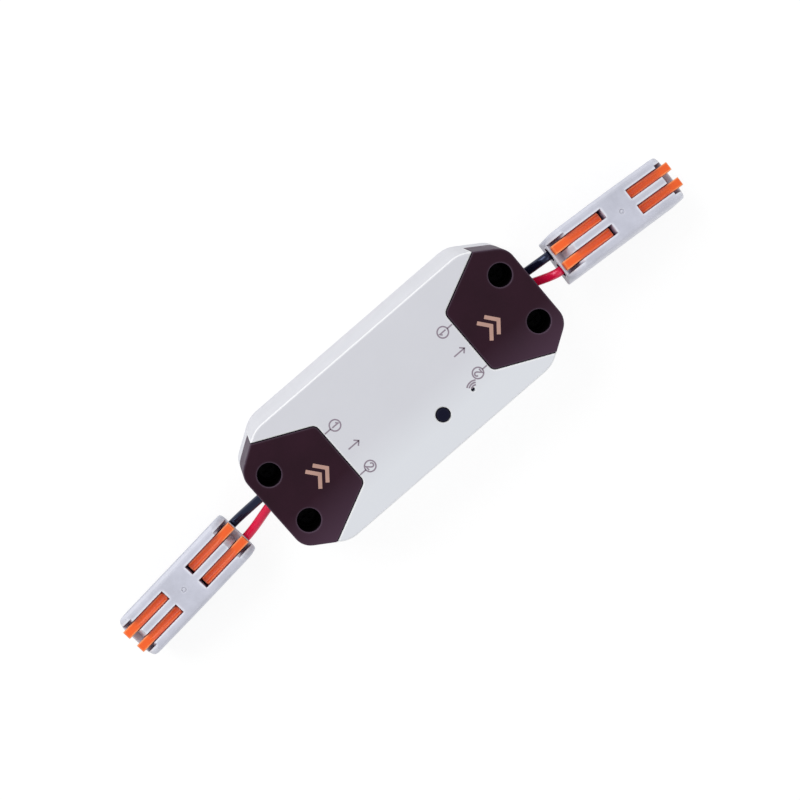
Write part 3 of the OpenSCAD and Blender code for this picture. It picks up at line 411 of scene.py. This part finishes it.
for endName, exits in leads["exits"].items():
    for pole, colourName, exitY in zip((1, -1), ("black", "red"), exits):
        name = f"{endName}_{colourName}_sleeve"
        route = leadRoute(endName, pole, exitY)
        sleeve = piece(name, tube(name, route, leads["diameter"], leads["sides"]),
            "lead_" + colourName)
        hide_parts(f"{endName}_{colourName}_lead")
print("leads made")


# Printed marks: flat strokes of ink on the roof. All points are in millimetres on the case
ink = {
    "proud": 0.02,
    "sunk": 0.02,
    "sharpest": 0.4,  # keeps a sharp corner from drawing out far
    "print_grey": dict(colour=rgb(146, 134, 147), patch=2, swing=0.08, rough=0.5, edge=0.01,
        worn=0.0, specular=0.2),
    "print_rose": dict(colour=rgb(184, 146, 134), patch=3, swing=0.08, rough=0.45, edge=0.01,
        worn=0.0, specular=0.3),
}
for name in ("print_grey", "print_rose"):
    finishes[name] = finish(name, ink[name])


# One thin flat piece from lines of points, each open or closed
def strokes(name, lines, width, slotName):
    made = bmesh.new()
    top, bottom = roof + ink["proud"], roof - ink["sunk"]
    for points, closed in lines:
        count = len(points)
        sides = []
        for i, point in enumerate(points):
            headings = []
            if closed or i > 0:
                headings.append((point - points[i - 1]).normalized())
            if closed or i < count - 1:
                headings.append((points[(i + 1) % count] - point).normalized())
            normals = [Vector((-h.y, h.x)) for h in headings]
            mitre = (normals[0] + normals[-1]).normalized()
            sides.append(mitre*(width/2/max(ink["sharpest"], mitre.dot(normals[0]))))
        rows = [[made.verts.new(((p + sign*s).x*mm, (p + sign*s).y*mm, z*mm))
            for p, s in zip(points, sides)]
            for sign, z in ((1, top), (-1, top), (-1, bottom), (1, bottom))]
        for i in range(count if closed else count - 1):
            n = (i + 1) % count
            for a, b in zip(rows, rows[1:] + rows[:1]):
                made.faces.new((a[i], a[n], b[n], b[i]))
        if not closed:
            made.faces.new([row[0] for row in rows])
            made.faces.new([row[-1] for row in reversed(rows)])
    bmesh.ops.recalc_face_normals(made, faces=made.faces)
    return piece(name, meshOf(name, made), slotName)


def arc(middle, radius, first, last, steps):
    angles = [math.radians(first + (last - first)*k/steps) for k in range(steps + 1)]
    return [middle + radius*Vector((math.cos(a), math.sin(a))) for a in angles]


# Two strokes that meet in a tip towards the output end
def pointed(tip, reach, half):
    return [tip + Vector((-reach, half)), tip, tip + Vector((-reach, -half))]


# The numbers of the two ways, each in a ring with a line towards its end of the case
ways = {
    "ring": 1.45,
    "ringSteps": 48,
    "stroke": 0.37,
    "lineGap": 0.4,  # from the line's end to the cover
    "one": [[(-0.5, 0.48), (0.05, 0.93), (0.05, -0.95)]],
    "two": [[(-0.55, 0.42), (-0.45, 0.72), (-0.2, 0.9), (0.08, 0.93), (0.36, 0.82), (0.52, 0.57),
        (0.5, 0.28), (0.32, -0.02), (-0.56, -0.88), (0.62, -0.88)]],
    "places": {
        "input": {"one": (-17.7, 6.3), "two": (-17.75, -7.45)},
        "output": {"one": (18.03, 6.25), "two": (18.13, -7.5)},
    },
}
for endName, side in ends.items():
    readRight, readUp = Vector((0, side)), Vector((-side, 0))
    for number, place in ways["places"][endName].items():
        middle = Vector(place)
        marks = [([middle + readRight*x + readUp*y for x, y in line], False)
            for line in ways[number]]
        lastTurn = 360 - 360/ways["ringSteps"]
        marks.append((arc(middle, ways["ring"], 0, lastTurn, ways["ringSteps"] - 1), True))
        rim = middle + Vector((side*ways["ring"], 0))
        marks.append(([rim, Vector((side*(coverIn - ways["lineGap"]), middle.y))], False))
        strokes(f"{endName}_way_{number}", marks, ways["stroke"], "print_grey")

# A thin arrow at each end shows which way the current goes
arrow = {
    "length": 3.4,
    "barb": 0.95,
    "stroke": 0.37,
    "places": {"input": (-17.4, -0.6), "output": (17.9, -0.4)},
}
for endName, place in arrow["places"].items():
    half = Vector((arrow["length"]/2, 0))
    tail, tip = Vector(place) - half, Vector(place) + half
    head = pointed(tip, arrow["barb"], arrow["barb"])
    strokes(endName + "_arrow", [([tail, tip], False), (head, False)], arrow["stroke"],
        "print_grey")

# Three arcs beside the light
arcs = {
    "middle": (15.1, -10.4),
    "radii": (1.2, 1.8, 2.4),
    "first": 54,
    "last": 130,
    "steps": 14,
    "stroke": 0.4,
}
lines = [(arc(Vector(arcs["middle"]), r, arcs["first"], arcs["last"], arcs["steps"]), False)
    for r in arcs["radii"]]
strokes("light_arcs", lines, arcs["stroke"], "print_grey")

# Two chevrons on each cover
chevron = {
    "reach": 2.3,
    "half": 2.9,
    "step": 2.4,
    "stroke": 1.0,
    "places": {"input": (-28.6, -0.6), "output": (28.4, -0.6)},
}
for endName, place in chevron["places"].items():
    lines = []
    for k in (-0.5, 0.5):
        tip = Vector(place) + Vector((chevron["reach"]/2 + k*chevron["step"], 0))
        lines.append((pointed(tip, chevron["reach"], chevron["half"]), False))
    strokes(endName + "_chevrons", lines, chevron["stroke"], "print_rose")
print("marks made")


# Floor: near white to the camera, and it keeps the object's shadow
ground = {"half": 3.0, "paint": 0.9, "glow": 1.1, "glowShare": 0.75}
corners = [(-1, -1), (1, -1), (1, 1), (-1, 1)]
floorMesh = bpy.data.meshes.new("floor")
floorMesh.from_pydata([(x*ground["half"], y*ground["half"], 0) for x, y in corners], [],
    [(0, 1, 2, 3)])
floor = bpy.data.objects.new("floor", floorMesh)
scene.collection.objects.link(floor)
floorMaterial = bpy.data.materials.new("floor")
floorMaterial.use_nodes = True
floorTree = floorMaterial.node_tree
floorTree.nodes.remove(floorTree.nodes["Principled BSDF"])
start = Signal(floorTree)
seen = start.add("LightPath", {}, {}, "Is Camera Ray")
for ray in ("Is Glossy Ray", "Is Transmission Ray"):
    seen = seen + start.add("LightPath", {}, {}, ray)
paint = ground["paint"]
plain = start.add("BsdfDiffuse", {}, {"Color": (paint, paint, paint, 1)})
glow = start.add("Emission", {}, {"Color": (1, 1, 1, 1), "Strength": ground["glow"]})
mixed = start.add("MixShader", {}, {0: seen.limited()*ground["glowShare"], 1: plain, 2: glow})
start.feed(floorTree.nodes["Material Output"].inputs["Surface"], mixed)
floorMesh.materials.append(floorMaterial)

# Lights: an even pale sky and two wide soft lamps, the stronger one beyond the case's far side
sky = {"level": 0.55}
world = bpy.data.worlds.new("world")
world.use_nodes = True
start = Signal(world.node_tree)
shown = start.add("LightPath", {}, {}, "Is Camera Ray")
background = world.node_tree.nodes["Background"]
background.inputs["Color"].default_value = (1, 1, 1, 1)
start.feed(background.inputs["Strength"], shown*(1 - sky["level"]) + sky["level"])
scene.world = world

lamps = {
    "far_lamp": {"place": (-0.25, 0.75, 0.62), "size": 0.7, "power": 5.2},
    "near_lamp": {"place": (0.3, -0.6, 0.8), "size": 0.9, "power": 2.2},
}
for lampName, lamp in lamps.items():
    lampData = bpy.data.lights.new(lampName, "AREA")
    lampData.shape = "SQUARE"
    lampData.size = lamp["size"]
    lampData.energy = lamp["power"]
    made = bpy.data.objects.new(lampName, lampData)
    made.location = lamp["place"]
    made.rotation_euler = Vector(lamp["place"]).to_track_quat("Z", "Y").to_euler()
    scene.collection.objects.link(made)
print("floor and lights set")
